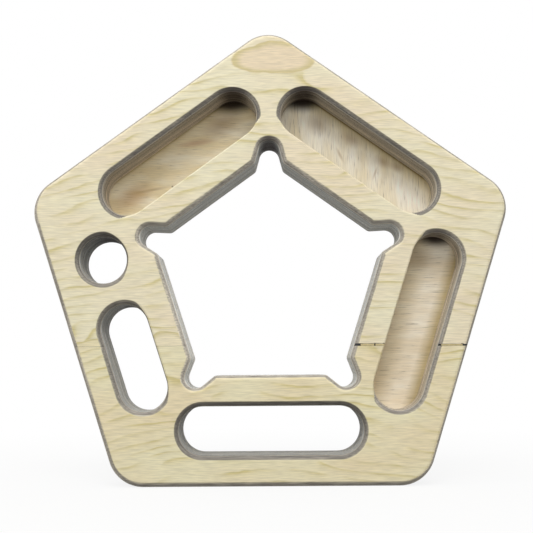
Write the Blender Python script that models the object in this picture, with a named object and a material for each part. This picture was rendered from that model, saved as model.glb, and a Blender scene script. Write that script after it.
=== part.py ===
"""Portable hangboard: a five-sided finger board milled from one blank of plywood.

The blank is a stack of plies glued face to face. Every ply is its own solid, with its share of the
grips, of the central opening and of the rounded edges. The board stands upright on its flat bottom
side: front face towards -Y, up is +Z, and the origin is under the middle of that side.
"""

import math

import bmesh
import bpy
from mathutils import Vector

# Outline of the board, in metres
SIDES = 5
SIDE_LENGTH = 0.150
CORNER_RADIUS = 0.0175
EDGE_ROUND = 0.0025

# Plywood
FACE_VENEER = 0.00135
CORE_PLY = 0.0017
CORE_PLIES = 11
GLUE_LINE = 0.0003
VENEER_JOINT_DROP = 0.0363
VENEER_JOINT_GAP = 0.0003

# Central opening, with a cord notch in each inner corner
OPENING_APOTHEM = 0.0497
NOTCH_REACH = 0.0627
NOTCH_RADIUS = 0.0052
NOTCH_FLARE = math.radians(15)
NOTCH_LIP_RADIUS = 0.0030

# Grips that go right through
SLOT_WIDTH = 0.0235
HOLE_DIAMETER = 0.0235
TWO_FINGER_LENGTH = 0.054

# Blind pockets, and the long slot that matches them
GRIP_LENGTH = 0.090
POCKET_WIDTH = 0.0245
UPPER_LEFT_DEPTH = 0.0197
UPPER_RIGHT_DEPTH = 0.0177
RIGHT_DEPTH = 0.0157

# Fineness of the curves
CORNER_STEPS = 6
NOTCH_STEPS = 7
LIP_STEPS = 2
SLOT_END_STEPS = 7
HOLE_STEPS = 16
ROUND_STEP = math.radians(35)
SHARP_EDGE = math.radians(40)

# A lip rounded over by more than its own radius comes to a point this fine
LEAST_LIP = 0.0001

# Where the cutter of a pocket would take or leave less of a ply than this, the floor is the ply's own face
LEAST_SHAVING = 0.0002

SIDE_ANGLE = 2 * math.pi / SIDES
APOTHEM = SIDE_LENGTH / (2 * math.tan(SIDE_ANGLE / 2))
PLY_PITCH = CORE_PLY + GLUE_LINE
THICKNESS = 2 * FACE_VENEER + GLUE_LINE + CORE_PLIES * PLY_PITCH
GRIP_RADIUS = (APOTHEM + OPENING_APOTHEM) / 2

# Directions from the board's centre to the middle of each side, as angles from the right
BOTTOM = -math.pi / 2
RIGHT = BOTTOM + SIDE_ANGLE
UPPER_RIGHT = BOTTOM + 2 * SIDE_ANGLE
UPPER_LEFT = BOTTOM + 3 * SIDE_ANGLE
LEFT = BOTTOM + 4 * SIDE_ANGLE

# Colours of the wood, as linear red, green and blue
FACE_COLOUR = (0.74, 0.66, 0.45, 1)
LONG_GRAIN_COLOUR = (0.55, 0.44, 0.28, 1)
CROSS_GRAIN_COLOUR = (0.36, 0.32, 0.26, 1)
SANDED_ROUGHNESS = 0.6
MILLED_ROUGHNESS = 0.75


def polar(radius, angle):
    return Vector((radius * math.cos(angle), radius * math.sin(angle)))


def turned(point, angle):
    cos, sin = math.cos(angle), math.sin(angle)
    return Vector((point.x * cos - point.y * sin, point.x * sin + point.y * cos))


def arc(centre, radius, start, sweep, steps):
    """Points along an arc, both ends included."""
    return [centre + polar(radius, start + sweep * i / steps) for i in range(steps + 1)]


def fillet(corner, before, after, radius, steps):
    """The arc that rounds a corner between the points before and after it."""
    to_before = (before - corner).normalized()
    to_after = (after - corner).normalized()
    half = to_before.angle(to_after) / 2
    centre = corner + (to_before + to_after).normalized() * radius / math.sin(half)
    run = radius / math.tan(half)
    first = corner + to_before * run - centre
    last = corner + to_after * run - centre
    start = math.atan2(first.y, first.x)
    sweep = math.atan2(first.x * last.y - first.y * last.x, first.dot(last))
    return arc(centre, radius, start, sweep, steps)


def board_outline(grow):
    """The pentagon, drawn in from its full size by grow."""
    reach = (APOTHEM - grow) / math.cos(SIDE_ANGLE / 2)
    corners = [polar(reach, BOTTOM + (i + 0.5) * SIDE_ANGLE) for i in range(SIDES)]
    points = []
    for i, corner in enumerate(corners):
        before, after = corners[i - 1], corners[(i + 1) % SIDES]
        points += fillet(corner, before, after, CORNER_RADIUS - grow, CORNER_STEPS)
    return points


def notch_half(radius, side):
    """One side of a cord notch that points along +X: where its neck leaves the circle and meets the board."""
    leave = Vector((NOTCH_REACH, 0)) + polar(radius, math.pi / 2 - NOTCH_FLARE)
    along = Vector((-math.cos(NOTCH_FLARE), math.sin(NOTCH_FLARE)))
    normal = polar(1, SIDE_ANGLE / 2)
    run = (side - leave.dot(normal)) / along.dot(normal)
    meet = leave + along * run
    return leave, meet, meet + Vector((-normal.y, normal.x))


def opening_outline(grow):
    """The central opening, grown into the wood by grow: straight sides, and a notch in every corner."""
    radius = NOTCH_RADIUS + grow
    lip = max(NOTCH_LIP_RADIUS - grow, LEAST_LIP)
    leave, meet, beyond = notch_half(radius, OPENING_APOTHEM + grow)
    upper_lip = fillet(meet, leave, beyond, lip, LIP_STEPS)
    lower_lip = [Vector((p.x, -p.y)) for p in reversed(upper_lip)]
    spread = math.pi / 2 - NOTCH_FLARE
    circle = arc(Vector((NOTCH_REACH, 0)), radius, -spread, 2 * spread, NOTCH_STEPS)
    notch = lower_lip + circle + upper_lip
    points = []
    for i in range(SIDES):
        points += [turned(p, BOTTOM + (i + 0.5) * SIDE_ANGLE) for p in notch]
    return points


def slot(side, shift, length, width):
    """A round-ended slot beside one side of the board, as a function of how far it is grown."""

    def outline(grow):
        radius = width / 2 + grow
        half_run = (length - width) / 2
        centre = Vector((GRIP_RADIUS, shift))
        upper = arc(centre + Vector((0, half_run)), radius, 0, math.pi, SLOT_END_STEPS)
        lower = arc(centre - Vector((0, half_run)), radius, math.pi, math.pi, SLOT_END_STEPS)
        return [turned(p, side) for p in upper + lower]

    return outline


def round_hole(side, shift, diameter):
    """A round hole beside one side of the board, as a function of how far it is grown."""

    def outline(grow):
        centre = turned(Vector((GRIP_RADIUS, shift)), side)
        ring = arc(centre, diameter / 2 + grow, 0, 2 * math.pi, HOLE_STEPS)
        return ring[:-1]

    return outline


# The two left-hand grips share the length of a full one, from end to end
TWO_FINGER_SHIFT = (GRIP_LENGTH - TWO_FINGER_LENGTH) / 2
HOLE_SHIFT = -(GRIP_LENGTH - HOLE_DIAMETER) / 2

THROUGH_CUTS = [
    board_outline,
    opening_outline,
    slot(BOTTOM, 0, GRIP_LENGTH, SLOT_WIDTH),
    slot(LEFT, TWO_FINGER_SHIFT, TWO_FINGER_LENGTH, SLOT_WIDTH),
    round_hole(LEFT, HOLE_SHIFT, HOLE_DIAMETER),
]
POCKETS = [
    (slot(UPPER_LEFT, 0, GRIP_LENGTH, POCKET_WIDTH), UPPER_LEFT_DEPTH),
    (slot(UPPER_RIGHT, 0, GRIP_LENGTH, POCKET_WIDTH), UPPER_RIGHT_DEPTH),
    (slot(RIGHT, 0, GRIP_LENGTH, POCKET_WIDTH), RIGHT_DEPTH),
]


def round_angle(depth):
    """How far round the quarter circle of a rounded edge a depth below the face lies."""
    return math.acos(1 - min(depth, EDGE_ROUND) / EDGE_ROUND)


def rounded_levels(near, far):
    """(depth, growth) pairs from near to far below a face whose edge is rounded."""
    start, end = round_angle(near), round_angle(far)
    if end - start < math.radians(1):
        return [(near, 0.0), (far, 0.0)]
    steps = math.ceil((end - start) / ROUND_STEP)
    levels = []
    for i in range(steps + 1):
        angle = start + (end - start) * i / steps
        levels.append((EDGE_ROUND * (1 - math.cos(angle)), EDGE_ROUND * (1 - math.sin(angle))))
    if far > EDGE_ROUND:
        levels.append((far, 0.0))
    return levels


def cut_levels(near, far, rounded_behind):
    """(depth, growth) pairs of a cut through a ply between two depths below the front face."""
    if rounded_behind and far > THICKNESS / 2:
        behind = rounded_levels(THICKNESS - far, THICKNESS - near)
        return [(THICKNESS - depth, grow) for depth, grow in reversed(behind)]
    return rounded_levels(near, far)


def add_loop(bm, outline, depth, grow, ply_front):
    """One closed loop of vertices, at a depth below the front face, in the ply's own frame."""
    height = ply_front - depth
    return [bm.verts.new((p.x, p.y, height)) for p in outline(grow)]


def add_wall(bm, outline, levels, ply_front):
    """The wall of a cut, as rings of quads from its first level to its last. Returns both end loops."""
    loops = [add_loop(bm, outline, depth, grow, ply_front) for depth, grow in levels]
    for upper, lower in zip(loops, loops[1:]):
        for i, vertex in enumerate(upper):
            after = (i + 1) % len(upper)
            bm.faces.new((vertex, upper[after], lower[after], lower[i]))
    return loops[0], loops[-1]


def fill_face(bm, loops):
    """A flat face bounded by the first loop, with a hole for each of the others."""
    edges = []
    for loop in loops:
        for i, vertex in enumerate(loop):
            pair = (vertex, loop[(i + 1) % len(loop)])
            edges.append(bm.edges.get(pair) or bm.edges.new(pair))
    bmesh.ops.triangle_fill(bm, use_beauty=True, use_dissolve=False, edges=edges)


def ply_mesh(name, front, back):
    """A ply between two depths below the front face, with every cut that reaches it."""
    bm = bmesh.new()
    front_loops, back_loops = [], []
    for outline in THROUGH_CUTS:
        first, last = add_wall(bm, outline, cut_levels(front, back, True), front)
        front_loops.append(first)
        back_loops.append(last)
    for outline, depth in POCKETS:
        if depth < front + LEAST_SHAVING:
            continue
        goes_through = depth > back - LEAST_SHAVING
        floor = back if goes_through else depth
        first, last = add_wall(bm, outline, cut_levels(front, floor, False), front)
        front_loops.append(first)
        if goes_through:
            back_loops.append(last)
        else:
            bm.faces.new(last)
    fill_face(bm, front_loops)
    fill_face(bm, back_loops)
    bmesh.ops.recalc_face_normals(bm, faces=bm.faces)
    mesh = bpy.data.meshes.new(name)
    bm.to_mesh(mesh)
    bm.free()
    return mesh


def trim_sheet(mesh, height, direction):
    """Cuts a veneer sheet along a level line and keeps the side that direction (1 up, -1 down) points to."""
    bm = bmesh.new()
    bm.from_mesh(mesh)
    bmesh.ops.bisect_plane(
        bm,
        geom=bm.verts[:] + bm.edges[:] + bm.faces[:],
        plane_co=(0, height, 0),
        plane_no=(0, -direction, 0),
        clear_outer=True,
    )
    open_edges = [edge for edge in bm.edges if edge.is_boundary]
    bmesh.ops.holes_fill(bm, edges=open_edges, sides=0)
    bmesh.ops.recalc_face_normals(bm, faces=bm.faces)
    bm.to_mesh(mesh)
    bm.free()


def wood(name, colour, roughness):
    material = bpy.data.materials.new(name)
    material.use_nodes = True
    shader = material.node_tree.nodes["Principled BSDF"]
    shader.inputs["Base Color"].default_value = colour
    shader.inputs["Roughness"].default_value = roughness
    shader.inputs["Metallic"].default_value = 0.0
    return material


def add_ply(name, mesh, depth, board, colour, roughness):
    """Places a ply in the stack, its front this far below the board's front face."""
    mesh.shade_smooth()
    mesh.set_sharp_from_angle(angle=SHARP_EDGE)
    mesh.materials.append(wood(name + "_wood", colour, roughness))
    ply = bpy.data.objects.new(name, mesh)
    ply.parent = board
    ply.location = (0, 0, THICKNESS / 2 - depth)
    bpy.context.collection.objects.link(ply)


def add_front_veneer(board):
    """The two sheets of the front face, edge to edge along the veneer joint."""
    joint = -VENEER_JOINT_DROP
    for place, direction in (("upper", 1), ("lower", -1)):
        name = f"front_face_veneer_{place}"
        mesh = ply_mesh(name, 0.0, FACE_VENEER)
        trim_sheet(mesh, joint + direction * VENEER_JOINT_GAP / 2, direction)
        add_ply(name, mesh, 0.0, board, FACE_COLOUR, SANDED_ROUGHNESS)


def add_core(board):
    """The core plies, each with its grain a quarter turn from the one before."""
    for number in range(1, CORE_PLIES + 1):
        front = FACE_VENEER + GLUE_LINE + (number - 1) * PLY_PITCH
        crossed = number % 2 == 1
        grain = "cross_grain" if crossed else "long_grain"
        name = f"core_ply_{number:02d}_{grain}"
        colour = CROSS_GRAIN_COLOUR if crossed else LONG_GRAIN_COLOUR
        mesh = ply_mesh(name, front, front + CORE_PLY)
        add_ply(name, mesh, front, board, colour, MILLED_ROUGHNESS)


def add_back_veneer(board):
    front = THICKNESS - FACE_VENEER
    mesh = ply_mesh("back_face_veneer", front, THICKNESS)
    add_ply("back_face_veneer", mesh, front, board, FACE_COLOUR, SANDED_ROUGHNESS)


def build():
    for stale in list(bpy.data.objects):
        bpy.data.objects.remove(stale, do_unlink=True)
    board = bpy.data.objects.new("board_centre", None)
    board.location = (0, 0, APOTHEM)
    board.rotation_euler = (math.pi / 2, 0, 0)
    bpy.context.collection.objects.link(board)
    add_front_veneer(board)
    add_core(board)
    add_back_veneer(board)
    print(f"board {THICKNESS * 1000:.1f} mm thick, {CORE_PLIES + 2} plies")


build()
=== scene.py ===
# %% [markdown]
# # A portable hangboard
#
# The object is a five-sided board for training the fingers, milled from one blank of plywood. Nothing on
# it moves. Its looks come from the wood alone: two pale face veneers, eleven core plies whose edges show
# as stripes in every slot, and the glue between them. We load the solid model first, because it says
# where every ply lies, and then dress each ply in a finer mesh of the same shape.

# %% Load the solid model
import math

import bmesh
import bpy
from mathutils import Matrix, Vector


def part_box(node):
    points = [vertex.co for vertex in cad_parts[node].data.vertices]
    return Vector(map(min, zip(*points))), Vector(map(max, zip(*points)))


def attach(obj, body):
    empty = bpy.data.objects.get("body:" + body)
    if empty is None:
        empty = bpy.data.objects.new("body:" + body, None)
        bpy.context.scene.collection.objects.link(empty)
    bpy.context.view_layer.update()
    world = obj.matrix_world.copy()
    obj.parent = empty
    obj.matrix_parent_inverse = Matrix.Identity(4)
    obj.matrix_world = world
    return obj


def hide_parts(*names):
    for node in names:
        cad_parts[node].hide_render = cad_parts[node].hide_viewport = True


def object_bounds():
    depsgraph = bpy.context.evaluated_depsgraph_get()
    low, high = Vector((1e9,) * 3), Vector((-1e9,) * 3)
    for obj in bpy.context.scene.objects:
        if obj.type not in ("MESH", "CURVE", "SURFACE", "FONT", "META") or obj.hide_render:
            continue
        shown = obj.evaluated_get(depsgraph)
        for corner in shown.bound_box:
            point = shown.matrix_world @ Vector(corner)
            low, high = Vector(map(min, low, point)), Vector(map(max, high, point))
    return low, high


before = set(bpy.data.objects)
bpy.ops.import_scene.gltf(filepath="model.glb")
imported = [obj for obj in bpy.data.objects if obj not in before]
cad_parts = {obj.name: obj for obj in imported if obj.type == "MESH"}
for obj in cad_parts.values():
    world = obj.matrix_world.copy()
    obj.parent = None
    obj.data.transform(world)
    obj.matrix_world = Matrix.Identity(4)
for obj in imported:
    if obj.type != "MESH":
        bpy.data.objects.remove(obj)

cad_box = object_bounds()
MM = 0.001
print(len(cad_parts), "plies, box", [[round(v / MM, 1) for v in corner] for corner in cad_box])

# %% [markdown]
# ## The camera
#
# The photographer stood a little left of the board's middle line, close in, and looked slightly up. A
# short distance gives strong perspective: it is why the walls of the slots show. The lens is the angle
# of view written as a focal length on 36 mm film.

# %% Camera
camera = bpy.data.objects.new("camera", bpy.data.cameras.new("camera"))
camera.location = (0.0037, -0.4509, 0.0575)
camera.rotation_euler = [math.radians(angle) for angle in (96.438, 0.4445, 0.7434)]
camera.data.lens = 60.13
camera.data.sensor_width = 36
bpy.context.collection.objects.link(camera)
bpy.context.scene.camera = camera
print("angle of view", round(math.degrees(camera.data.angle), 1), "degrees")

# %% [markdown]
# ## Sizes
#
# The board's outline is a pentagon, so a few lengths give all of it: the side, how far the middle is cut
# out, and the width and length of the grips. The depth of every ply comes from the solid model.

# %% Driving sizes in metres
SIDE_LENGTH = 150 * MM
CORNER_RADIUS = 17.5 * MM
EDGE_ROUND = 2.5 * MM
OPENING_APOTHEM = 49.7 * MM
NOTCH_REACH = 62.7 * MM
NOTCH_RADIUS = 5.2 * MM
NOTCH_FLARE = math.radians(15)
NOTCH_LIP_RADIUS = 3.0 * MM
SLOT_WIDTH = 23.5 * MM
HOLE_DIAMETER = 23.5 * MM
POCKET_WIDTH = 24.5 * MM
GRIP_LENGTH = 90 * MM
TWO_FINGER_LENGTH = 54 * MM

SIDE_ANGLE = math.radians(72)
APOTHEM = SIDE_LENGTH / (2 * math.tan(SIDE_ANGLE / 2))
GRIP_RADIUS = (APOTHEM + OPENING_APOTHEM) / 2
BOTTOM, RIGHT, UPPER_RIGHT, UPPER_LEFT, LEFT = [math.radians(-90) + i * SIDE_ANGLE for i in range(5)]
print("apothem", round(APOTHEM / MM, 2), "mm, grips on a circle of", round(GRIP_RADIUS / MM, 2), "mm")

# %% [markdown]
# ## Outlines
#
# Every cut through the board is a closed line in the plane of the face. A cutter with a rounded nose ran
# along each, so the line has to be drawn again a little larger at every level of the rounded edge. That
# is why an outline here is a function of how far it is grown, not a fixed list of points.

# %% Points on arcs and rounded corners
ARC_STEP = math.radians(4.5)


def polar(radius, angle):
    return Vector((radius * math.cos(angle), radius * math.sin(angle)))


def turned(point, angle):
    cos, sin = math.cos(angle), math.sin(angle)
    return Vector((point.x * cos - point.y * sin, point.x * sin + point.y * cos))


def arc(centre, radius, start, sweep, steps=None):
    steps = steps or max(2, math.ceil(abs(sweep) / ARC_STEP - 0.001))
    return [centre + polar(radius, start + sweep * i / steps) for i in range(steps + 1)]


def rounded(corner, before, after, radius, steps=None):
    """The arc that rounds a corner between its two neighbours."""
    to_before = (before - corner).normalized()
    to_after = (after - corner).normalized()
    half = to_before.angle(to_after) / 2
    centre = corner + (to_before + to_after).normalized() * radius / math.sin(half)
    run = radius / math.tan(half)
    first = corner + to_before * run - centre
    last = corner + to_after * run - centre
    sweep = math.atan2(first.x * last.y - first.y * last.x, first.dot(last))
    return arc(centre, radius, math.atan2(first.y, first.x), sweep, steps)


print("a half circle has", len(arc(Vector((0, 0)), 1, 0, math.pi)) - 1, "steps")

# %% [markdown]
# The pentagon and the central opening share their corners' directions. Each inner corner ends in a
# keyhole notch: a circle, then a neck that flares towards the middle, then a softened lip.

# %% The board's outline and the central opening
LIP_STEPS = 6
LEAST_RADIUS = 0.1 * MM


def board_outline(grow):
    reach = (APOTHEM - grow) / math.cos(SIDE_ANGLE / 2)
    corners = [polar(reach, BOTTOM + (i + 0.5) * SIDE_ANGLE) for i in range(5)]
    points = []
    for i, corner in enumerate(corners):
        points += rounded(corner, corners[i - 1], corners[(i + 1) % 5], CORNER_RADIUS - grow)
    # The solid's corners have facets, which end a tenth of a millimetre inside a true arc.
    return [Vector((min(max(p.x, cad_box[0][0]), cad_box[1][0]), p.y)) for p in points]


def opening_outline(grow):
    radius = NOTCH_RADIUS + grow
    centre = Vector((NOTCH_REACH, 0))
    leave = centre + polar(radius, math.pi / 2 - NOTCH_FLARE)
    along = Vector((-math.cos(NOTCH_FLARE), math.sin(NOTCH_FLARE)))
    normal = polar(1, SIDE_ANGLE / 2)
    meet = leave + along * (OPENING_APOTHEM + grow - leave.dot(normal)) / along.dot(normal)
    beyond = meet + Vector((-normal.y, normal.x))
    upper_lip = rounded(meet, leave, beyond, max(NOTCH_LIP_RADIUS - grow, LEAST_RADIUS), LIP_STEPS)
    lower_lip = [Vector((p.x, -p.y)) for p in reversed(upper_lip)]
    spread = math.pi / 2 - NOTCH_FLARE
    notch = lower_lip + arc(centre, radius, -spread, 2 * spread) + upper_lip
    points = []
    for i in range(5):
        points += [turned(p, BOTTOM + (i + 0.5) * SIDE_ANGLE) for p in notch]
    return points


print(len(board_outline(0)), "points round the board,", len(opening_outline(0)), "round the opening")

# %% [markdown]
# The grips lie along the middle of each arm. A slot is two half circles joined by straights, and the
# one-finger hole is a circle. Both are drawn as if their arm pointed right, and then turned to its side.

# %% Slots and the round hole
TWO_FINGER_SHIFT = (GRIP_LENGTH - TWO_FINGER_LENGTH) / 2
HOLE_SHIFT = -(GRIP_LENGTH - HOLE_DIAMETER) / 2


def slot(side, shift, length, width):
    def outline(grow):
        radius = width / 2 + grow
        centre = Vector((GRIP_RADIUS, shift))
        half_run = Vector((0, (length - width) / 2))
        upper_end = arc(centre + half_run, radius, 0, math.pi)
        lower_end = arc(centre - half_run, radius, math.pi, math.pi)
        return [turned(p, side) for p in upper_end + lower_end]

    return outline


def round_hole(side, shift, diameter):
    def outline(grow):
        centre = turned(Vector((GRIP_RADIUS, shift)), side)
        return arc(centre, diameter / 2 + grow, 0, 2 * math.pi)[:-1]

    return outline


print("two-finger slot", round(TWO_FINGER_SHIFT / MM, 2), "mm off the arm's middle")

# %% [markdown]
# ## The stack of plies
#
# Each node of the solid model is one ply. Its box says how deep in the board it starts and ends. The
# blind pockets stop at the face of a ply, so a pocket is a slot with the name of the ply that floors it.

# %% Ply depths, from the front face
FRONT = cad_box[0][1]
BACK = cad_box[1][1]
THICKNESS = BACK - FRONT
core_names = sorted(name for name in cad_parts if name.startswith("core_ply"))


def depths(node):
    low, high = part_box(node)
    return low[1] - FRONT, high[1] - FRONT


print("core plies start at", [round(depths(name)[0] / MM, 2) for name in core_names], "mm")

# %% [markdown]
# ## How each edge was worked
#
# The cutter rounded every edge over, and the sander then took the face down, so on most edges the face
# ends in a faint corner and the raw, greyer wood of the cut begins. Where a hand sanded along, on the
# board's upper and right outsides and on the inner side of each pocket, the edge is a plain round, and the
# pale face colour is painted on over it, as painted light. A cut is its outline, its floor, and a function
# that says how raw the edge is on the side that faces a given way. A second function paints each side
# lighter or darker by the way it faces, as painted light and shade.

# %% How raw and how dark a side is


def evenly(value):
    return lambda facing: value


def within(value):
    return min(max(value, 0.0), 1.0)


def eased(value, low, high):
    share = within((value - low) / (high - low))
    return share * share * (3 - 2 * share)


def raw_outside(facing):
    """The bottom edge is nearly raw, the left edge partly, and the others are sanded and painted pale, as
    painted light.
    """
    return within(0.3 - 0.35 * facing.x - 0.6 * facing.y)


def raw_opening(facing):
    """The opening's lower edge, which faces up, is sanded and painted pale as painted light; the rest is raw.
    """
    return within(1.25 - facing.y)


def raw_grip(side, pale_side, turn=0.6):
    """Raw on the outer wall and round the ends, painted paler as painted light on the wall nearest the
    middle.
    """
    outwards = polar(1, side)
    return lambda facing: 1.0 - pale_side * eased(facing.dot(outwards), turn, 1.0)


def shaded_facing_down(upper, lower):
    """Painted shade: walls that face down are painted darker than those that face up."""
    return lambda facing: lower + (upper - lower) * eased(-facing.y, -0.5, 0.9)


def lit_facing_right(facing):
    """Painted light: the opening's left wall, which faces right, is painted lighter."""
    return 1.0 + 0.2 * eased(facing.x, 0.5, 0.9)


print("raw share of the bottom outside", raw_outside(Vector((0, -1))))

# %% [markdown]
# With these, the whole board is eight cuts: five that go right through, its outside among them, and the
# three pockets. The soft radius is that of the sanded sides, and is smaller in the small grips. Lit skin is
# how far down a sanded side the pale face colour is painted, as painted light.

# %% Cuts and their edges


def cut(outline, floor=None, soft_radius=EDGE_ROUND, lit_skin=0.0, raw=evenly(1.0), tone=evenly(1.0)):
    return {"outline": outline, "floor": floor, "soft_radius": soft_radius, "lit_skin": lit_skin, "raw": raw,
            "tone": tone}


def pocket(side, floor, tone):
    return cut(slot(side, 0, GRIP_LENGTH, POCKET_WIDTH), floor=depths(floor)[0], soft_radius=0.8 * MM,
               lit_skin=1.4 * MM, raw=raw_grip(side, 1.0), tone=evenly(tone))


through_cuts = [
    cut(board_outline, lit_skin=0.3 * MM, raw=raw_outside),
    cut(opening_outline, lit_skin=0.4 * MM, raw=raw_opening, tone=lit_facing_right),
    cut(slot(BOTTOM, 0, GRIP_LENGTH, SLOT_WIDTH), tone=shaded_facing_down(0.33, 0.58)),
    cut(slot(LEFT, TWO_FINGER_SHIFT, TWO_FINGER_LENGTH, SLOT_WIDTH), soft_radius=1.2 * MM, lit_skin=0.4 * MM,
        raw=raw_grip(LEFT, 0.8), tone=shaded_facing_down(0.5, 0.76)),
    cut(round_hole(LEFT, HOLE_SHIFT, HOLE_DIAMETER), soft_radius=1.7 * MM, lit_skin=0.1 * MM,
        raw=raw_grip(LEFT, 1.0, 0.3), tone=shaded_facing_down(0.3, 0.6)),
]
# The last number paints each pocket's walls lighter or darker as a whole, as painted light and shade
pockets = [
    pocket(UPPER_LEFT, "core_ply_10_long_grain", 1.0),
    pocket(UPPER_RIGHT, "core_ply_09_cross_grain", 0.95),
    pocket(RIGHT, "core_ply_08_long_grain", 1.25),
]
print(len(through_cuts), "cuts go through; pockets", [round(p["floor"] / MM, 2) for p in pockets], "mm deep")

# %% [markdown]
# ## From cuts to a mesh
#
# Where the edge is raw, the sander only took the face down, and the rounding starts with a corner of about
# 45 degrees, like the end of an oval. Where a hand sanded along, it is a plain quarter round.
# How far each has drawn back at a depth is all that a mesh needs.

# %% The shape of a rounded edge
CORNER_TILT = math.radians(45)
LONG_RADIUS = EDGE_ROUND / (1 - math.sin(CORNER_TILT))
FLATTEN = EDGE_ROUND / (LONG_RADIUS * math.cos(CORNER_TILT))
RIM_DEPTHS = [d * MM for d in (0, 0.03, 0.08, 0.16, 0.27, 0.4, 0.55, 0.75, 1.0, 1.3, 1.65, 2.05, 2.5)]


def cornered(depth):
    """How far the cut has grown at a depth, where the edge starts with a corner."""
    cos = math.cos(CORNER_TILT) - min(depth, EDGE_ROUND) / (FLATTEN * LONG_RADIUS)
    return LONG_RADIUS * (1 - math.sqrt(1 - cos * cos))


def softened(depth, radius):
    """The same where the edge is a plain quarter round."""
    return radius * (1 - math.sqrt(1 - (1 - min(depth, radius) / radius) ** 2))


print("a raw edge widens a cut by", round(cornered(0) / MM, 2), "mm")

# %% [markdown]
# A ply is made from loops: one ring of points for each level of each cut, joined by quads, with a flat
# face filled in front and behind. Building the walls ourselves, instead of cutting with Booleans, keeps
# the rounded edges even and the mesh free of slivers. Each quad carries three numbers for the materials:
# blind, whether it lies in a pocket; lit skin, how far down the pale face colour is painted as painted
# light; and tone, the painted light or shade of the wall, by its cut and the way it faces.

# %% Rings and walls
# How far a cut is grown to see which way its wall faces, and the least height of a ring
PROBE = 0.2 * MM
LEAST_STEP = 0.02 * MM
WALL_FACTS = ("blind", "lit_skin", "tone")


def ring_points(work, depth, hide):
    """A cut's points at a depth below the nearer face, and how raw and how light the wall is there."""
    outline = work["outline"]
    facings = [(p - q).normalized() for p, q in zip(outline(0), outline(PROBE))]
    sharp = outline(cornered(depth) + hide)
    soft = outline(softened(depth, work["soft_radius"]) + hide)
    shares = [work["raw"](facing) for facing in facings]
    points = [a * share + b * (1 - share) for a, b, share in zip(sharp, soft, shares)]
    return points, shares, [work["tone"](facing) for facing in facings]


def levels_between(near, far, both_faces):
    stops = set(RIM_DEPTHS) | ({THICKNESS - d for d in RIM_DEPTHS} if both_faces else set())
    return [near] + sorted(d for d in stops if near + LEAST_STEP < d < far - LEAST_STEP) + [far]


def add_wall(bm, work, near, far, hide):
    blind, lit_skin, tone = [bm.faces.layers.float[fact] for fact in WALL_FACTS]
    rings = []
    both_faces = work["floor"] is None
    for depth in levels_between(near, far, both_faces):
        below = min(depth, THICKNESS - depth) if both_faces else depth
        points, shares, tones = ring_points(work, below, hide)
        rings.append([bm.verts.new((p.x, FRONT + depth, p.y + APOTHEM)) for p in points])
    for upper, lower in zip(rings, rings[1:]):
        for i, vertex in enumerate(upper):
            after = (i + 1) % len(upper)
            quad = bm.faces.new((vertex, upper[after], lower[after], lower[i]))
            quad.smooth = True
            quad[blind] = 0.0 if both_faces else 1.0
            quad[lit_skin] = (1 - (shares[i] + shares[after]) / 2) * work["lit_skin"]
            quad[tone] = (tones[i] + tones[after]) / 2
    return rings[0], rings[-1]


print(len(levels_between(*depths("back_face_veneer"), True)), "rings in each cut of the back veneer")

# %% [markdown]
# The flat faces are filled between the first rings of all the cuts, and again between the last ones. They
# are shaded flat and the walls smooth, so the light turns evenly round the edge without spilling onto the
# face. A little hide draws every wall back into the wood, which the glue will need.

# %% One ply
TOUCHING = 0.01 * MM


def fill(bm, rings):
    edges = []
    for ring in rings:
        for i, vertex in enumerate(ring):
            pair = (vertex, ring[(i + 1) % len(ring)])
            edges.append(bm.edges.get(pair) or bm.edges.new(pair))
    bmesh.ops.triangle_fill(bm, use_beauty=True, use_dissolve=False, edges=edges)


def crease(bm):
    """Ends the smooth shading of the walls at the edge of every flat face."""
    for edge in bm.edges:
        edge.smooth = all(face.smooth for face in edge.link_faces)


def finished_mesh(bm, name):
    mesh = bpy.data.meshes.new(name)
    bm.to_mesh(mesh)
    bm.free()
    return mesh


def ply_mesh(name, near, far, hide=0.0):
    bm = bmesh.new()
    for fact in WALL_FACTS:
        bm.faces.layers.float.new(fact)
    front_rings = []
    back_rings = []
    for work in through_cuts + pockets:
        if work["floor"] is None or work["floor"] > far - TOUCHING:
            first, last = add_wall(bm, work, near, far, hide)
            front_rings.append(first)
            back_rings.append(last)
    fill(bm, front_rings)
    fill(bm, back_rings)
    bmesh.ops.recalc_face_normals(bm, faces=bm.faces)
    crease(bm)
    return finished_mesh(bm, name)


def show(name, mesh, material, slot_name, *nodes):
    """Puts a finished ply in the scene, in place of its solids."""
    mesh.materials.append(material)
    piece = bpy.data.objects.new(name, mesh)
    bpy.context.collection.objects.link(piece)
    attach(piece, "root")
    if nodes:
        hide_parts(*nodes)


print("at most", len(through_cuts + pockets), "cuts in a ply")

# %% [markdown]
# ## Wood, from colour to fibre
#
# All the colours are written as they look on a screen, in hex, and one function turns them to the linear
# light values that the shader wants. One more function adds a node with its settings and links, so each
# material reads as a list of what happens to the colour.

# %% Helpers for materials
# A Mix node has sockets for every kind of data: these are its colour ones
SHARE, UNDER, OVER, MIXED = 0, 6, 7, 2
BLEND = {"data_type": "RGBA"}
MULTIPLY = {"data_type": "RGBA", "blend_type": "MULTIPLY"}
SMOOTH = {"interpolation_type": "SMOOTHSTEP"}


def linear(code):
    channels = [int(code[i:i + 2], 16) / 255 for i in (0, 2, 4)]
    return [c / 12.92 if c <= 0.04045 else ((c + 0.055) / 1.055) ** 2.4 for c in channels] + [1.0]


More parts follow.
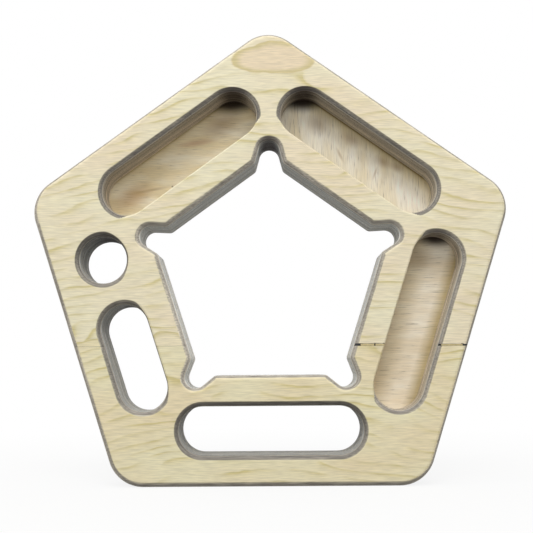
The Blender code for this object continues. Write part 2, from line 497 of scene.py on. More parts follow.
def add(tree, kind, inputs=None, **settings):
    """Adds a shader node. Inputs are values, outputs of other nodes, or nodes, for their first output."""
    node = tree.nodes.new("ShaderNode" + kind)
    for name, value in settings.items():
        setattr(node, name, value)
    for key, value in (inputs or {}).items():
        source = value.outputs[0] if isinstance(value, bpy.types.Node) else value
        if isinstance(source, bpy.types.NodeSocket):
            tree.links.new(source, node.inputs[key])
        else:
            node.inputs[key].default_value = source
    return node


def set_stops(ramp, stops):
    """Fills a colour ramp from its stops. The first and the last lie at its ends."""
    ramp.elements[0].color = stops[0][1]
    ramp.elements[1].color = stops[-1][1]
    for position, colour in stops[1:-1]:
        ramp.elements.new(position).color = colour


def new_material(name):
    material = bpy.data.materials.new(name)
    material.use_nodes = True
    material.node_tree.nodes.clear()
    return material, material.node_tree


print("white", linear("FFFFFF")[:3])

# %% [markdown]
# ### Figure and stains
#
# The pattern of wood is called its figure. All of it is drawn out along the fibres, so each kind starts as
# noise with a real length and width. The marks given one by one are ovals: soft ones for stains and for
# painted shade, and rings that close on themselves, where the veneer knife just grazed the top of a growth
# ring.

# %% Marks on the wood


def figure(tree, place, size, seed, detail):
    """Cloudy noise with patches of a given size in x, depth and z."""
    per_patch = [1 / length for length in size]
    drawn_out = add(tree, "VectorMath", {0: place, 1: per_patch}, operation="MULTIPLY")
    noise = {"Vector": drawn_out, "W": seed, "Scale": 1.0, "Detail": detail}
    return add(tree, "TexNoise", noise, noise_dimensions="4D")


def distance_from(tree, place, at, size, turn=0.0):
    """0 in the middle of an oval and 1 at its edge: at and size are in mm as x, depth and z."""
    inputs = {
        "Vector": place,
        "Location": (at[0] * MM, FRONT + at[1] * MM, at[2] * MM),
        "Rotation": (0, -math.radians(turn), 0),
        "Scale": [s * MM for s in size],
    }
    local = add(tree, "Mapping", inputs, vector_type="TEXTURE")
    return add(tree, "VectorMath", {0: local}, operation="LENGTH").outputs["Value"]


def soft_oval(tree, colour, place, at, size, turn, tint, strength, core=0.0):
    """Lays a soft oval of another colour over the wood. Core is how much of it is at full strength."""
    away = distance_from(tree, place, at, size, turn)
    fade = {"Value": away, "From Min": 1.0, "From Max": core, "To Max": strength}
    cover = add(tree, "MapRange", fade, **SMOOTH)
    stained = add(tree, "Mix", {SHARE: cover, UNDER: colour, OVER: linear(tint)}, **BLEND)
    return stained.outputs[MIXED]


def closed_ring(tree, colour, place, at, size, heart, strength):
    """A growth ring that closes on itself: an olive band, sharp outside, round wood of a warmer tone."""
    away = distance_from(tree, place, at, size)
    inside = add(tree, "MapRange", {"Value": away, "From Min": 1.03, "From Max": 0.97})
    warm = add(tree, "Mix", {SHARE: inside, UNDER: colour, OVER: linear(heart)}, **BLEND)
    inner_side = {"Value": away, "From Min": 0.66, "From Max": 0.96, "To Max": strength}
    fading = add(tree, "MapRange", inner_side, **SMOOTH)
    band = add(tree, "Math", {0: fading, 1: inside}, operation="MULTIPLY")
    olive = {SHARE: band, UNDER: warm.outputs[MIXED], OVER: linear("C9BB80")}
    return add(tree, "Mix", olive, **BLEND).outputs[MIXED]


print("the front face is at y =", round(FRONT / MM, 2), "mm")

# %% [markdown]
# ### What the cutter left, and painted shade
#
# A cut slices the thin growth layers of each sheet, so fine light and dark lines run round its wall. Some
# walls are painted darker or lighter than others by the tone of each quad, as painted shade and light, and
# those of blind pockets are painted darker still, as shade in a recess. Under the upper ends of the pockets,
# the round hole, the two-finger slot and the top notch, where the walls face down, painted shade and shadow
# lie as ovals of dark brown with a wide core, each given by its middle, size and strength.

# %% Traces of the cutter, and painted shade
LAYER_RUN = 14 * MM
LAYER_STEP = 0.55 * MM
LAYER_CONTRAST = 0.34
# Painted shade and shadow under the upper ends of the cuts: its dark brown tint, and its ovals
SHADE_TINT = "24160E"
SHADE_CORE = 0.3
SHADE_OVALS = [
    ((-17.0, 9, 199.5), (16, 24, 10), 0.87),
    ((-20.0, 20, 198.0), (18, 5, 10), 0.93),
    ((17.0, 8, 199.5), (16, 23, 10), 0.87),
    ((17.5, 18, 198.0), (18, 5, 9.5), 0.93),
    ((83.5, 8, 124.5), (13, 18, 7.0), 0.60),
    ((86.0, 16, 124.0), (13, 4.5, 8.0), 0.90),
    ((-79, 17, 125.0), (16, 24, 11), 0.92),
    ((-68, 19, 91.5), (13, 22, 11), 0.86),
    ((0, 14, 173.0), (11, 26, 11), 0.92),
]


# Paints the ovals of shade over a colour
def painted_shade(tree, colour, place):
    for at, size, strength in SHADE_OVALS:
        colour = soft_oval(tree, colour, place, at, size, 0, SHADE_TINT, strength, SHADE_CORE)
    return colour


def layered(tree, colour, place, seed):
    """Fine light and dark lines round a cut, where it slices the growth layers."""
    layers = figure(tree, place, (LAYER_RUN, LAYER_STEP, LAYER_RUN), seed, 1.5)
    low, high = 1 - LAYER_CONTRAST, 1 + LAYER_CONTRAST
    contrast = {"Value": layers, "From Min": 0.3, "From Max": 0.7, "To Min": low, "To Max": high}
    level = add(tree, "MapRange", contrast)
    return add(tree, "Mix", {SHARE: 1.0, UNDER: colour, OVER: level}, **MULTIPLY).outputs[MIXED]


def lit_and_shaded(tree, colour):
    """Paints a wall lighter or darker by its tone from the mesh, which is painted light and shade."""
    tone = add(tree, "Attribute", attribute_name="tone").outputs["Fac"]
    return add(tree, "Mix", {SHARE: 1.0, UNDER: colour, OVER: tone}, **MULTIPLY).outputs[MIXED]


def shaded_in_pockets(tree, colour, level):
    """Paints the walls of blind pockets darker, as shade in a recess: they keep a share of their light."""
    blind = add(tree, "Attribute", attribute_name="blind").outputs["Fac"]
    share = add(tree, "MapRange", {"Value": blind, "To Min": 1.0, "To Max": level})
    return add(tree, "Mix", {SHARE: 1.0, UNDER: colour, OVER: share}, **MULTIPLY).outputs[MIXED]


print(len(SHADE_OVALS), "scorched places")

# %% [markdown]
# ### Rotary-cut birch, sanded
#
# The face veneer is birch peeled off a turning log. The blade runs almost along the growth rings, so a
# ring that is a few millimetres wide in the tree crosses it again and again as a slow, wavy line. Each
# line is sharp on one side, where the dense wood of autumn stopped growing, and fades out on the other.
# That is the picture of contour lines on a map, and it is made like one: a smooth height, sliced at even
# steps. The height arches over the board, and is pushed up under the crown, a closed ring at the top.

# %% Growth rings
RING_STEP = 5.4 * MM
# From one ring to the next: the place between them, and how strong the line is there
RING_PROFILE = ((0.0, 0.60), (0.08, 0.10), (0.16, 0.0), (0.50, 0.04), (0.74, 0.24), (0.90, 0.80), (1.0, 0.85))
# How much the rings arch at the foot of the board, per metre, and how that changes with height
FOOT_ARCH = 1.9
ARCH_CHANGE = -5.5
# How far the slow and the quick waves shift the rings
ROLL_HEIGHT = 26 * MM
RIPPLE_HEIGHT = 3.4 * MM
CROWN = (3.5, 0, 213.6)
CROWN_SIZE = (21.5, 100, 8.6)
CROWN_REACH = (30, 100, 16)
CROWN_PUSH = 7 * MM


def ring_strength(tree, place, ripple, roll, patch):
    """How strongly a growth ring shows at each place, from 0 to 1."""
    x, _, z = add(tree, "SeparateXYZ", {0: place}).outputs
    steepness = add(tree, "Math", {0: z, 1: ARCH_CHANGE, 2: FOOT_ARCH}, operation="MULTIPLY_ADD")
    across = add(tree, "Math", {0: x, 1: x}, operation="MULTIPLY")
    arch = add(tree, "Math", {0: across, 1: steepness, 2: z}, operation="MULTIPLY_ADD")
    wave = add(tree, "Math", {0: roll, 1: ROLL_HEIGHT, 2: arch}, operation="MULTIPLY_ADD")
    wobble = add(tree, "Math", {0: ripple, 1: RIPPLE_HEIGHT, 2: wave}, operation="MULTIPLY_ADD")
    to_crown = distance_from(tree, place, CROWN, CROWN_REACH)
    bulge = {"Value": to_crown, "From Min": 1.2, "From Max": 0.2, "To Max": CROWN_PUSH}
    push = add(tree, "MapRange", bulge, **SMOOTH)
    height = add(tree, "Math", {0: wobble, 1: push}, operation="SUBTRACT")
    rings = add(tree, "Math", {0: height, 1: 1 / RING_STEP}, operation="MULTIPLY")
    between = add(tree, "Math", {0: rings}, operation="FRACT")
    line = add(tree, "ValToRGB", {0: between})
    set_stops(line.color_ramp, [(position, (level, level, level, 1)) for position, level in RING_PROFILE])
    # The lines come and go in patches
    strength = add(tree, "MapRange", {"Value": patch, "From Min": 0.42, "From Max": 0.60, "To Min": 0.05})
    return add(tree, "Math", {0: line, 1: strength}, operation="MULTIPLY")


print("a growth ring about every", round(RING_STEP / MM, 1), "mm")

# %% [markdown]
# The sheet's own edge is raw wood, a little darker in the middle than at the face and the glue. On the
# sanded sides it starts below the lit skin, which the mesh knows: above it the pale face colour is painted
# on, as painted light.

# %% Edge of the veneer
VENEER_DEPTH = 1.4 * MM
VENEER_EDGE = ((0.0, "CCC4AC"), (0.22, "A9A192"), (0.75, "9C968E"), (1.0, "ACA698"))
RAW_FROM = 0.02 * MM
RAW_TO = 0.14 * MM
# How much of its light a veneer edge keeps in a pocket, where shade is painted in
POCKET_VENEER_SHADE = 0.6


def veneer_edge(tree, place, surface, seed):
    """The colour of the raw edge, and how far it shows: not in the lit skin, painted as light, and fully
    below it.
    """
    depth = add(tree, "SeparateXYZ", {0: place}).outputs["Y"]
    level = add(tree, "Math", {0: depth, 1: surface}, operation="SUBTRACT")
    below = add(tree, "Math", {0: level}, operation="ABSOLUTE")
    lit_skin = add(tree, "Attribute", attribute_name="lit_skin").outputs["Fac"]
    under_skin = add(tree, "Math", {0: below, 1: lit_skin}, operation="SUBTRACT")
    bare = add(tree, "MapRange", {"Value": under_skin, "From Min": RAW_FROM, "From Max": RAW_TO})
    down = add(tree, "MapRange", {"Value": under_skin, "From Max": VENEER_DEPTH})
    edge = add(tree, "ValToRGB", {0: down})
    set_stops(edge.color_ramp, [(position, linear(tint)) for position, tint in VENEER_EDGE])
    colour = shaded_in_pockets(tree, lit_and_shaded(tree, edge.outputs[0]), POCKET_VENEER_SHADE)
    return painted_shade(tree, layered(tree, colour, place, seed), place), bare


print(len(VENEER_EDGE), "tints from the face to the glue")

# %% [markdown]
# The whole veneer is two pale tints in slow clouds, the ring lines over them, a few closed rings and dark
# specks, and then fibres about half a millimetre apart. Bare sanded wood scatters most of its light, so
# the roughness is high, and its IOR of 1.5 gives it the faint sheen of anything made of cellulose.

# %% Face veneer
RIPPLE_SIZE = (15 * MM, 1, 8 * MM)
ROLL_SIZE = (55 * MM, 1, 24 * MM)
PATCH_SIZE = (26 * MM, 1, 12 * MM)
FIBRE_LENGTH = 7 * MM
FIBRE_WIDTH = 0.6 * MM
RING_SWAY = (9 * MM, 0, 6 * MM)
# The cut edge is rougher than the sanded face, so its fibres differ more
FACE_FIBRES, EDGE_FIBRES = 0.12, 0.35


def fibred(tree, colour, place, bare, seed):
    """Adds the fibres to a colour, and returns it with a normal that shows them."""
    fibre = figure(tree, place, (FIBRE_LENGTH, FIBRE_WIDTH, FIBRE_WIDTH), seed, 2.5)
    spread = add(tree, "MapRange", {"Value": bare, "To Min": FACE_FIBRES, "To Max": EDGE_FIBRES})
    ends = {"Value": fibre, "From Min": 0.3, "From Max": 0.7, "To Min": -1.0, "To Max": 1.0}
    centred = add(tree, "MapRange", ends)
    level = add(tree, "Math", {0: centred, 1: spread, 2: 0.99}, operation="MULTIPLY_ADD")
    drawn = add(tree, "Mix", {SHARE: 1.0, UNDER: colour, OVER: level}, **MULTIPLY)
    bump = add(tree, "Bump", {"Height": fibre, "Strength": 0.25, "Distance": 0.08 * MM})
    return drawn.outputs[MIXED], bump


def sanded_birch(name, seed, surface, tints, closed_rings=(), specks=()):
    material, tree = new_material(name)
    place = add(tree, "TexCoord").outputs["Object"]
    ripple = figure(tree, place, RIPPLE_SIZE, seed, 2.5)
    roll = figure(tree, place, ROLL_SIZE, seed, 1.0)
    patch = figure(tree, place, PATCH_SIZE, seed + 3, 2.5)

    first, second, ring_tint = [linear(tint) for tint in tints]
    clouds = add(tree, "MapRange", {"Value": roll, "From Min": 0.40, "From Max": 0.62})
    pale = add(tree, "Mix", {SHARE: clouds, UNDER: first, OVER: second}, **BLEND).outputs[MIXED]
    lines = ring_strength(tree, place, ripple, roll, patch)
    colour = add(tree, "Mix", {SHARE: lines, UNDER: pale, OVER: ring_tint}, **BLEND).outputs[MIXED]

    sway = add(tree, "VectorMath", {0: ripple.outputs["Color"], 1: (0.5, 0.5, 0.5)}, operation="SUBTRACT")
    swayed = add(tree, "VectorMath", {0: sway, 1: RING_SWAY, 2: place}, operation="MULTIPLY_ADD")
    for at, size, heart, strength in closed_rings:
        colour = closed_ring(tree, colour, swayed.outputs[0], at, size, heart, strength)
    for at, size, tint, strength in specks:
        colour = soft_oval(tree, colour, place, at, size, 0, tint, strength, 0.5)

    edge, bare = veneer_edge(tree, place, surface, seed)
    whole = add(tree, "Mix", {SHARE: bare, UNDER: colour, OVER: edge}, **BLEND).outputs[MIXED]
    colour, normal = fibred(tree, whole, place, bare, seed)
    birch = {"Base Color": colour, "Roughness": 0.62, "IOR": 1.5, "Normal": normal}
    shader = add(tree, "BsdfPrincipled", birch)
    add(tree, "OutputMaterial", {"Surface": shader})
    return material


print("fibres", round(FIBRE_WIDTH / MM, 2), "mm wide and", round(FIBRE_LENGTH / MM, 2), "mm long")

# %% [markdown]
# ### Core ply, milled
#
# The inner plies are the same tree, cut plainer, and the router leaves them raw. Where a cut runs along
# the fibres the ply shows pale side grain, and where it crosses them it shows dark end grain. The next
# ply's fibres lie a quarter turn round, so it is the other way about: that is what draws the stripes. The
# shader asks which way the wall faces, and mixes the two tones by how squarely it cuts the fibres.

# %% Walls of the core plies
# The tone of side grain, and then of end grain. The neutral grey of the through cuts is partly a painted
# reflection of the white room, and the browner pocket walls are partly a painted reflection of their floors.
THROUGH_WALL = ("D9DAD7", "B1B2AF")
POCKET_WALL = ("D6CCBC", "ADA293")
# A pocket's walls are darker near the face and lighter deeper down
DEEPER_FROM, DEEPER_TO = 8 * MM, 13 * MM
NEAR_FACE_LEVEL, DEEP_LEVEL = 0.72, 1.08
STREAK_LOW, STREAK_HIGH = 0.62, 1.36


def milled_wall(tree, place, facing, grain, streak, tone):
    along = add(tree, "Math", {0: facing.outputs[grain.upper()]}, operation="ABSOLUTE")
    in_cut, in_pocket = [
        add(tree, "Mix", {SHARE: along, UNDER: linear(side), OVER: linear(end)}, **BLEND)
        for side, end in (THROUGH_WALL, POCKET_WALL)
    ]
    blind = add(tree, "Attribute", attribute_name="blind").outputs["Fac"]
    tints = {SHARE: blind, UNDER: in_cut.outputs[MIXED], OVER: in_pocket.outputs[MIXED]}
    wall = add(tree, "Mix", tints, **BLEND).outputs[MIXED]
    depth = add(tree, "SeparateXYZ", {0: place}).outputs["Y"]
    depth_ramp = {"Value": depth, "From Min": FRONT + DEEPER_FROM, "From Max": FRONT + DEEPER_TO,
              "To Min": NEAR_FACE_LEVEL, "To Max": DEEP_LEVEL}
    by_depth = add(tree, "MapRange", depth_ramp, **SMOOTH)
    # Sockets 2 and 3 are for plain numbers
    depth_level = add(tree, "Mix", {SHARE: blind, 2: 1.0, 3: by_depth}, data_type="FLOAT")
    low, high = STREAK_LOW * tone, STREAK_HIGH * tone
    stripes = {"Value": streak, "From Min": 0.32, "From Max": 0.68, "To Min": low, "To Max": high}
    stripe = add(tree, "MapRange", stripes)
    both = add(tree, "Math", {0: depth_level, 1: stripe}, operation="MULTIPLY")
    striped = {SHARE: 1.0, UNDER: lit_and_shaded(tree, wall), OVER: both}
    return add(tree, "Mix", striped, **MULTIPLY).outputs[MIXED]


print("side and end grain:", *THROUGH_WALL, *POCKET_WALL)

# %% [markdown]
# The floor of a pocket is a ply seen flat, browner, with the fibres lying along it. Across the floor, from
# the inner wall to the outer one, its tone changes, and towards the walls shade is painted in, most of all
# at the very foot of the outer wall, under its rim. The painted shade darkens the blue first, so it is
# browner. Each floor also has its own stains, and a painted shadow under its upper end, each with a middle,
# size, turn, colour and strength.

# %% Pocket floors
# Stops across a pocket floor, from the inner wall to the outer, for its tone and painted shade
ACROSS_STOPS = (0.0, 0.25, 0.5, 0.75, 0.955, 1.0)
POCKET_FLOORS = {
    "core_ply_10_long_grain": {
        "side": UPPER_LEFT, "pale": "FAEFD2", "brown": "EDDBB0",
        "across": (0.98, 1.02, 1.02, 1.0, 0.92, 0.62),
        "stains_and_shade": [
            ((-71, 19, 146.5), (16, 9, 8), 30, "C0914E", 0.60),
            ((-38, 19, 175), (14, 9, 2.6), 8, "C09070", 0.5),
            ((-50.8, 19, 151.8), (0.8, 9, 0.7), 0, "4A3522", 0.8),
            ((-62, 19, 150), (14, 9, 1.2), 10, "A07A48", 0.35),
            # Painted shadow on the floor under the pocket's upper end
            ((-25, 19, 185), (16, 9, 9), 30, "946E46", 0.50),
        ],
    },
    "core_ply_09_cross_grain": {
        "side": UPPER_RIGHT, "pale": "FBF3DE", "brown": "F2E4C2",
        "across": (0.93, 1.02, 1.08, 1.0, 0.70, 0.22),
        "stains_and_shade": [
            ((42.9, 17, 175.6), (9, 9, 5), -35, "9C7A48", 0.55),
            ((59.4, 17, 163.2), (7, 9, 4), -35, "94703C", 0.55),
            ((66.6, 17, 160.4), (5, 9, 3.5), -35, "94703C", 0.5),
            ((37.0, 17, 167.2), (1.2, 9, 6), 25, "A88A5C", 0.5),
            ((55.1, 17, 157.4), (1.0, 9, 5), -20, "A88A5C", 0.5),
            # Painted shadow on the floor under the pocket's upper end
            ((26, 17, 184), (9, 9, 8), -35, "8A6840", 0.45),
        ],
    },
    "core_ply_08_long_grain": {
        "side": RIGHT, "pale": "F6ECD6", "brown": "EADABC",
        "across": (0.86, 0.90, 1.04, 1.04, 0.62, 0.62),
        "stains_and_shade": [
            ((81.0, 15, 57.3), (1.2, 9, 1.0), 0, "3A2A18", 0.8),
            # Painted shadow on the floor under the pocket's upper end
            ((76, 15, 112), (12, 9, 9), -18, "8A6C44", 0.35),
        ],
    },
}


def milled_floor(tree, place, streak, cloud, look):
    """The face of a ply laid bare: fibres, darker dashes where the cutter tore them, stains, and painted
    shade.
    """
    browned = add(tree, "MapRange", {"Value": cloud, "From Min": 0.35, "From Max": 0.62})
    tints = {SHARE: browned, UNDER: linear(look["pale"]), OVER: linear(look["brown"])}
    colour = add(tree, "Mix", tints, **BLEND).outputs[MIXED]
    outwards = (math.cos(look["side"]), 0, math.sin(look["side"]))
    middle = GRIP_RADIUS + APOTHEM * outwards[2]
    reach = add(tree, "VectorMath", {0: place, 1: outwards}, operation="DOT_PRODUCT")
    inner, outer = middle - POCKET_WIDTH / 2, middle + POCKET_WIDTH / 2
    walls = {"Value": reach.outputs["Value"], "From Min": inner, "From Max": outer}
    floor_shade = add(tree, "ValToRGB", {0: add(tree, "MapRange", walls)})
    warmth = [(level, level ** 1.2, level ** 1.9, 1) for level in look["across"]]
    set_stops(floor_shade.color_ramp, list(zip(ACROSS_STOPS, warmth)))
    colour = add(tree, "Mix", {SHARE: 1.0, UNDER: colour, OVER: floor_shade}, **MULTIPLY).outputs[MIXED]
    torn = add(tree, "MapRange", {"Value": streak, "From Min": 0.37, "From Max": 0.30, "To Max": 0.6})
    dashes = {SHARE: torn, UNDER: colour, OVER: linear("8C7454")}
    colour = add(tree, "Mix", dashes, **BLEND).outputs[MIXED]
    fine = {"Value": streak, "From Min": 0.35, "From Max": 0.65, "To Min": 0.89, "To Max": 1.08}
    hair = add(tree, "MapRange", fine)
    colour = add(tree, "Mix", {SHARE: 1.0, UNDER: colour, OVER: hair}, **MULTIPLY).outputs[MIXED]
    for at, size, turn, tint, strength in look["stains_and_shade"]:
        colour = soft_oval(tree, colour, place, at, size, turn, tint, strength)
    return colour


print(len(POCKET_FLOORS), "pocket floors")

# %% [markdown]
# One material makes walls and floors, because a ply that floors one pocket is the wall of a deeper one.
# Raw wood is a little rougher than sanded wood. The sheen follows how light the wood is, so it fades where
# shade is painted in.

# %% Core plies
STREAK_LENGTH = 7 * MM
STREAK_WIDTH = 0.34 * MM
CLOUD_LENGTH = STREAK_LENGTH * 10 / 3
CLOUD_WIDTH = STREAK_WIDTH * 20


def along_grain(grain, length, width):
    """A size in x, depth and z that is long on the axis of the fibres."""
    return [length if axis == grain else width for axis in "xyz"]


def milled_birch(name, node, grain, tone, seed):
    material, tree = new_material(name)
    coordinates = add(tree, "TexCoord")
    place = coordinates.outputs["Object"]
    streak = figure(tree, place, along_grain(grain, STREAK_LENGTH, STREAK_WIDTH), seed, 3.0)
    cloud = figure(tree, place, along_grain(grain, CLOUD_LENGTH, CLOUD_WIDTH), seed + 5, 2.0)

    facing = add(tree, "SeparateXYZ", {0: coordinates.outputs["Normal"]})
    wall = layered(tree, milled_wall(tree, place, facing, grain, streak, tone), place, seed + 2)
    look = POCKET_FLOORS.get(node, POCKET_FLOORS["core_ply_08_long_grain"])
    floor_colour = milled_floor(tree, place, streak, cloud, look)
    level = add(tree, "Math", {0: facing.outputs["Y"]}, operation="ABSOLUTE")
    is_floor = add(tree, "Math", {0: level, 1: 0.9}, operation="GREATER_THAN")
    base = add(tree, "Mix", {SHARE: is_floor, UNDER: wall, OVER: floor_colour}, **BLEND)
    colour = painted_shade(tree, base.outputs[MIXED], place)

    lightness = add(tree, "RGBToBW", {0: colour})
    sheen = add(tree, "MapRange", {"Value": lightness, "From Max": 0.25, "To Min": 0.05, "To Max": 0.5})
    bump = add(tree, "Bump", {"Height": streak, "Strength": 0.5, "Distance": 0.12 * MM})
    birch = {"Base Color": colour, "Roughness": 0.7, "IOR": 1.5, "Specular IOR Level": sheen, "Normal": bump}
    shader = add(tree, "BsdfPrincipled", birch)
    add(tree, "OutputMaterial", {"Surface": shader})
    return material


print("clouds", round(CLOUD_LENGTH / MM, 1), "by", round(CLOUD_WIDTH / MM, 1), "mm")

# %% [markdown]
# ### Cured glue
#
# Between the plies is a film of resin that squeezed into the fibres, pale and slightly glossy where
# the cutter sliced it. Cured resin has an IOR of about 1.55.

# %% Glue
GLUE_GRIT = MM / 0.9
# How much of its light the glue keeps in a pocket, where shade is painted in
POCKET_GLUE_SHADE = 0.75


def cured_resin(name):
    material, tree = new_material(name)
    place = add(tree, "TexCoord").outputs["Object"]
    speck = add(tree, "TexNoise", {"Vector": place, "Scale": 1 / GLUE_GRIT, "Detail": 2.0})
    tints = {SHARE: speck, UNDER: linear("B9B09F"), OVER: linear("DAD3C5")}
    film = add(tree, "Mix", tints, **BLEND).outputs[MIXED]
    colour = painted_shade(tree, lit_and_shaded(tree, shaded_in_pockets(tree, film, POCKET_GLUE_SHADE)), place)
    shader = add(tree, "BsdfPrincipled", {"Base Color": colour, "Roughness": 0.45, "IOR": 1.55})
    add(tree, "OutputMaterial", {"Surface": shader})
    return material


print("glue grit", round(GLUE_GRIT / MM, 2), "mm")

# %% [markdown]
# ## Lay up the board
#
# Front to back: the two sheets of face veneer, eleven core plies with their glue, and the back veneer.
# The front sheets meet edge to edge. The joint isn't quite parallel: it is closed on the left arm and
# stands open by a millimetre on the right, so each sheet is cut along a slightly tilted line.

# %% Trim the front sheets
ARM_MIDDLE = 70 * MM
# Each sheet's edge at the joint, as height and slope: first on the left arm, then on the right
JOINT_EDGES = {
    "upper": ((68.15 * MM, 0.0), (68.35 * MM, -0.013)),
    "lower": ((68.05 * MM, 0.0), (67.25 * MM, -0.006)),
}


def joint_height(sheet, x):
    height, slope = JOINT_EDGES[sheet][x > 0]
    return height + slope * (abs(x) - ARM_MIDDLE)


def trim_sheet(mesh, sheet, direction):
    """Keeps the part of a sheet above the joint (direction 1) or below it (direction -1)."""
    bm = bmesh.new()
    bm.from_mesh(mesh)
    for arm, (height, slope) in zip((-1, 1), JOINT_EDGES[sheet]):
        faces = [face for face in bm.faces if face.calc_center_median().x * arm > 0]
        edges = list({edge for face in faces for edge in face.edges})
        corners = list({vertex for face in faces for vertex in face.verts})
        bmesh.ops.bisect_plane(
            bm,
            geom=corners + edges + faces,
            plane_co=(arm * ARM_MIDDLE, 0, height),
            plane_no=Vector((-slope * arm, 0, 1)) * -direction,
            clear_outer=True,
        )
    caps = bmesh.ops.holes_fill(bm, edges=[edge for edge in bm.edges if edge.is_boundary], sides=0)
    for face in caps["faces"]:
        face.smooth = False
    bmesh.ops.recalc_face_normals(bm, faces=bm.faces)
    crease(bm)
    print(sheet, "sheet:", len(caps["faces"]), "cut ends")
    bm.to_mesh(mesh)
    bm.free()


joint_gap = joint_height("upper", ARM_MIDDLE) - joint_height("lower", ARM_MIDDLE)
print("joint gap on the right arm", round(joint_gap / MM, 2), "mm")

# %% [markdown]
# The upper sheet is a shade lighter than the lower one. It has three closed rings, one at its crown and
# two on the left arm, which the joint cuts. Four dark specks along its lower edge are where it chipped.

# %% Face veneers
UPPER_TINTS = ("EBE3C4", "EADCBE", "D0C286")
LOWER_TINTS = ("E9E0BC", "E8D9B4", "CEBF80")
# Each mark's middle and size in mm, its colour and its strength
UPPER_RINGS = [
    (CROWN, CROWN_SIZE, "E8D6B6", 0.75),
    ((-88.8, 0, 68.2), (10.0, 100, 3.4), "E7DBB4", 0.85),
    ((-50.3, 0, 67.6), (11.8, 100, 7.6), "EBDFBE", 0.75),
]
UPPER_SPECKS = [
    ((44.6, 0, 68.3), (0.8, 50, 0.5), "5A4426", 0.8),
    ((51.3, 0, 68.5), (0.6, 50, 0.4), "4A3620", 0.8),
    ((55.6, 0, 68.5), (0.5, 50, 0.4), "4A3620", 0.8),
    ((94.0, 0, 68.1), (0.9, 50, 0.4), "4A3620", 0.8),
]
for sheet, direction, seed, tints, closed_rings, specks in (
    ("upper", 1, 2.0, UPPER_TINTS, UPPER_RINGS, UPPER_SPECKS),
    ("lower", -1, 6.0, LOWER_TINTS, (), ()),
):
    node = f"front_face_veneer_{sheet}"
    mesh = ply_mesh(node, *depths(node))
    trim_sheet(mesh, sheet, direction)
    wood = sanded_birch(f"sanded_birch_{sheet}", seed, FRONT, tints, closed_rings, specks)
    show(f"{sheet}_face_sheet", mesh, wood, "face_veneer", node)
back_mesh = ply_mesh("back_sheet", *depths("back_face_veneer"))
back_wood = sanded_birch("sanded_birch_back", 11.0, BACK, UPPER_TINTS)
show("back_sheet", back_mesh, back_wood, "face_veneer", "back_face_veneer")
print("face sheets laid")

# %% [markdown]
# On the right arm the sheets stand apart, and the gap was stopped with wood filler. It shrank as it dried,
# so it lies a little below the face with a dark slit on either side. A sine along each rim makes the
# slits ragged.

# %% Filler in the joint
FILLER_SLIT = 0.12 * MM
FILLER_SUNK = 0.12 * MM
FILLER_GRIT = MM / 1.4
FILLER_ENDS = ((44.3, 50.9), (51.6, 55.9), (83.8, 94.1))
RAGGED = 0.4
# Each rim's share of the usual slit, and how fast it varies along x
LOWER_RIM = (1.0, 4000)
UPPER_RIM = (1.1, 5300)


def wood_filler(name):
    material, tree = new_material(name)
    place = add(tree, "TexCoord").outputs["Object"]
    grit = add(tree, "TexNoise", {"Vector": place, "Scale": 1 / FILLER_GRIT, "Detail": 2.0})
    tints = {SHARE: grit, UNDER: linear("B4A070"), OVER: linear("E0D2A4")}
    colour = add(tree, "Mix", tints, **BLEND).outputs[MIXED]
    shader = add(tree, "BsdfPrincipled", {"Base Color": colour, "Roughness": 0.8, "IOR": 1.5})
    add(tree, "OutputMaterial", {"Surface": shader})
    return material


def slit(rim, x):
    share, pace = rim
    return FILLER_SLIT * (share + RAGGED * math.sin(x * pace))


filler = wood_filler("wood_filler")
sheet_back = depths("front_face_veneer_upper")[1]
for number, (start, end) in enumerate(FILLER_ENDS, start=1):
    steps = math.ceil(end - start)
    stops = [(start + (end - start) * i / steps) * MM for i in range(steps + 1)]
    rim = [(x, joint_height("lower", x) + slit(LOWER_RIM, x)) for x in stops]
    rim += [(x, joint_height("upper", x) - slit(UPPER_RIM, x)) for x in reversed(stops)]
    bm = bmesh.new()
    front_face = bm.faces.new([bm.verts.new((x, FRONT + FILLER_SUNK, z)) for x, z in rim])
    grown = bmesh.ops.extrude_face_region(bm, geom=[front_face])
    moved = [part for part in grown["geom"] if isinstance(part, bmesh.types.BMVert)]
    bmesh.ops.translate(bm, verts=moved, vec=(0, sheet_back - FILLER_SUNK, 0))
    bmesh.ops.recalc_face_normals(bm, faces=bm.faces)
    show(f"filler_{number}", finished_mesh(bm, f"filler_{number}"), filler, "face_veneer")
print(len(FILLER_ENDS), "runs of filler")

# %% [markdown]
# The core plies differ a little in tone, as sheets from different logs do. The glue shows as a thin pale
# line between them. It is the same mesh as a ply, only thinner, and drawn back a little from the wall.

# %% Core plies and their tones
PLY_TONES = (1.0, 1.05, 0.9, 1.0, 1.2, 1.0, 0.8, 0.85, 1.2, 0.8, 1.0)
SEED_STEP = 1.7
for number, (node, tone) in enumerate(zip(core_names, PLY_TONES), start=1):
    grain, slot_name = ("x", "long_grain_ply") if node.endswith("long_grain") else ("z", "cross_grain_ply")
    wood = milled_birch(f"milled_birch_{number:02d}", node, grain, tone, number * SEED_STEP)
    show(f"core_{number:02d}", ply_mesh(node, *depths(node)), wood, slot_name, node)
print(len(core_names), "core plies laid")

# %% Glue lines
RESIN_SET_BACK = 0.05 * MM
RESIN_CLEARANCE = 0.005 * MM
resin = cured_resin("cured_resin")
stack = ["front_face_veneer_upper"] + core_names + ["back_face_veneer"]
for number, (upper, lower) in enumerate(zip(stack, stack[1:]), start=1):
    name = f"glue_line_{number:02d}"
    near = depths(upper)[1] + RESIN_CLEARANCE
    far = depths(lower)[0] - RESIN_CLEARANCE
    show(name, ply_mesh(name, near, far, RESIN_SET_BACK), resin, "long_grain_ply")
print(len(stack) - 1, "glue lines laid")

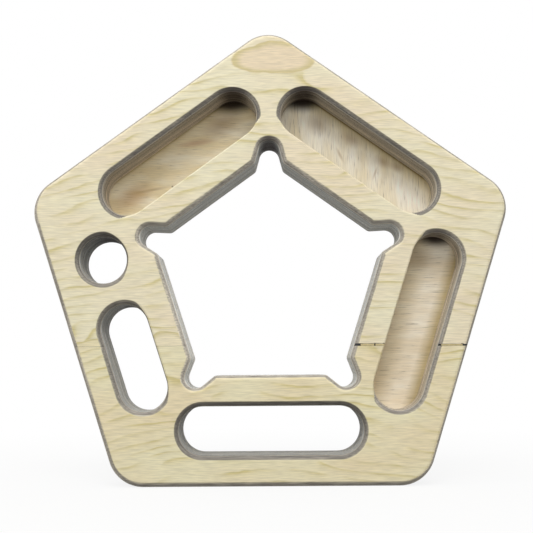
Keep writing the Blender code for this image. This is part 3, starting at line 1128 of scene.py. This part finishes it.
# %% [markdown]
# ## Floor, lamps and background
#
# The board stands on a plain pale floor, in a room that is white to the eye. Only what the camera looks at
# directly is made that white: the light that reaches the wood comes from four soft lamps and a dim room,
# so that a colour renders about as it is written. The floor keeps a share of its real shading, and with it
# the board's shadow.

# %% Room
ROOM_LIGHT = 0.66
WHITE = (1, 1, 1, 1)


def seen_directly(tree):
    """1 for what the camera, a mirror or a glass shows, 0 for light on its way to a surface."""
    path = add(tree, "LightPath").outputs
    seen = add(tree, "Math", {0: path["Is Camera Ray"], 1: path["Is Glossy Ray"]}, operation="ADD")
    return add(tree, "Math", {0: seen, 1: path["Is Transmission Ray"]}, operation="ADD", use_clamp=True)


world = bpy.data.worlds.new("room")
bpy.context.scene.world = world
world.use_nodes = True
sky = world.node_tree
sky.nodes.clear()
dim = add(sky, "Background", {"Color": WHITE, "Strength": ROOM_LIGHT})
white = add(sky, "Background", {"Color": WHITE, "Strength": 1.0})
either = add(sky, "MixShader", {0: seen_directly(sky), 1: dim, 2: white})
add(sky, "OutputWorld", {"Surface": either})
print("room light", ROOM_LIGHT)

# %% Floor
FLOOR_RADIUS = 3.0
FLOOR_GLOW = 0.85
SHADE_FROM, SHADE_TO = 0.05, 0.45
floor_material, tree = new_material("painted_floor")
seen = seen_directly(tree)
tint = add(tree, "Mix", {SHARE: seen, UNDER: linear("7C7C7A"), OVER: linear("E4E4E2")}, **BLEND)
paint = add(tree, "BsdfDiffuse", {"Color": tint.outputs[MIXED]})
glow = add(tree, "Emission", {"Color": WHITE, "Strength": 1.0})
# The shadow lies near the board. Further out the floor turns into the white of the room
far_off = add(tree, "VectorMath", {0: add(tree, "TexCoord").outputs["Object"]}, operation="LENGTH")
away = far_off.outputs["Value"]
fade = {"Value": away, "From Min": SHADE_FROM, "From Max": SHADE_TO, "To Min": FLOOR_GLOW}
spread = add(tree, "MapRange", fade, **SMOOTH)
share = add(tree, "Math", {0: seen, 1: spread}, operation="MULTIPLY")
both = add(tree, "MixShader", {0: share, 1: paint, 2: glow})
add(tree, "OutputMaterial", {"Surface": both})

bm = bmesh.new()
bmesh.ops.create_circle(bm, cap_ends=True, radius=FLOOR_RADIUS, segments=64)
floor_mesh = finished_mesh(bm, "floor")
floor_mesh.materials.append(floor_material)
floor = bpy.data.objects.new("floor", floor_mesh)
bpy.context.collection.objects.link(floor)
print("floor", 2 * FLOOR_RADIUS, "m across")

# %% [markdown]
# Four round panels light the board, all turned to its middle. The strongest hangs above and in front, so
# it lights the faces evenly and leaves the walls under each upper edge in shade. A weak one low in front
# reaches into the pockets. The two high at the sides make the walls differ, the left one the stronger.

# %% Lamps


def panel(name, place, size, watts):
    lamp = bpy.data.lights.new(name, "AREA")
    lamp.shape = "DISK"
    lamp.size = size
    lamp.energy = watts
    holder = bpy.data.objects.new(name, lamp)
    holder.location = place
    towards = Vector((0, 0, APOTHEM)) - Vector(place)
    holder.rotation_euler = towards.to_track_quat("-Z", "Y").to_euler()
    bpy.context.collection.objects.link(holder)


panel("top_panel", (0, -0.9, 1.25), 0.7, 8.6)
panel("front_panel", (0, -1.5, 0.35), 0.6, 2.8)
panel("left_panel", (-1.1, -0.55, 1.15), 0.7, 4.3)
panel("right_panel", (1.1, -0.55, 1.15), 0.7, 1.2)
bpy.context.scene.view_settings.view_transform = "Standard"
print(len(bpy.data.lights), "lamps")
